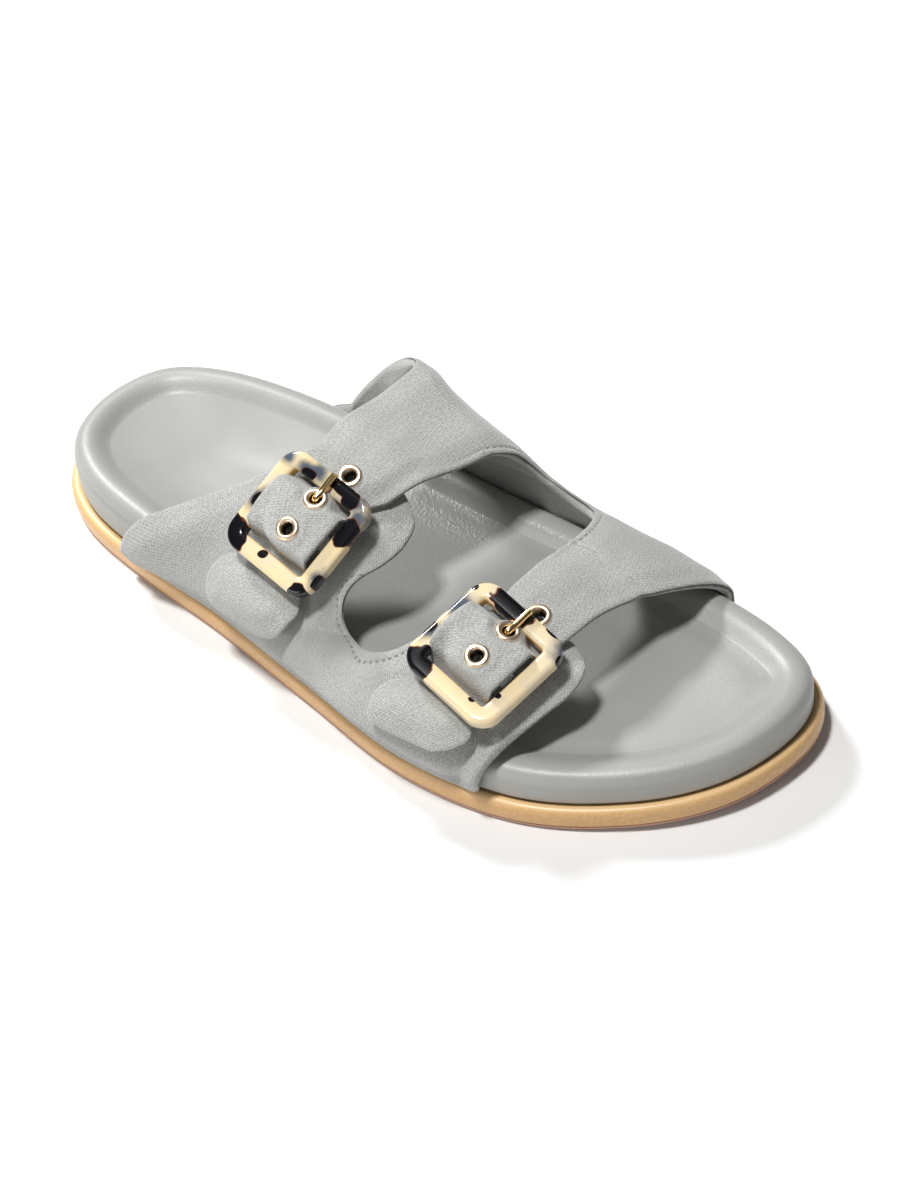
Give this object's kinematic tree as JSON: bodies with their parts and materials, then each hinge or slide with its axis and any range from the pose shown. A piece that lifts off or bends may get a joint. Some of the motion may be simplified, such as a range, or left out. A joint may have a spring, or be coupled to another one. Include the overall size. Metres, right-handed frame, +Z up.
{
  "type": "two-strap buckled footbed slide sandal",
  "caption": "Open-toe, open-back footbed slide for the right foot, with padded fabric straps over the instep, square acetate buckles and a rimmed moulded footbed on a flat sole.",
  "frame": {"origin": "centre of the bounding box's bottom, on the plane that the sole stands on", "axes": "+X from heel to toe, +Y to the inner side of the foot, +Z up"},
  "size_m": [0.262, 0.107, 0.0621],
  "materials": {
    "outsole": "matt tan, lightly polished edge",
    "leather": "smooth sage grey leather, low gloss",
    "fabric": "padded fine grey knit",
    "acetate": "polished pale tortoiseshell",
    "gold": "polished pale gold"
  },
  "bodies": {
    "root": {"outsole": "outsole", "footbed": "leather", "upper_medial": "fabric", "upper_lateral": "fabric", "buckle_frame_rear": "acetate", "buckle_frame_front": "acetate", "prong_rear": "gold", "prong_front": "gold", "bar_loop_rear_heel": "fabric", "bar_loop_rear_toe": "fabric", "bar_loop_front_heel": "fabric", "bar_loop_front_toe": "fabric", "eyelet_rear_outer": "gold", "eyelet_rear_prong": "gold", "eyelet_rear_inner": "gold", "eyelet_front_outer": "gold", "eyelet_front_prong": "gold", "eyelet_front_inner": "gold"}
  },
  "joints": []
}
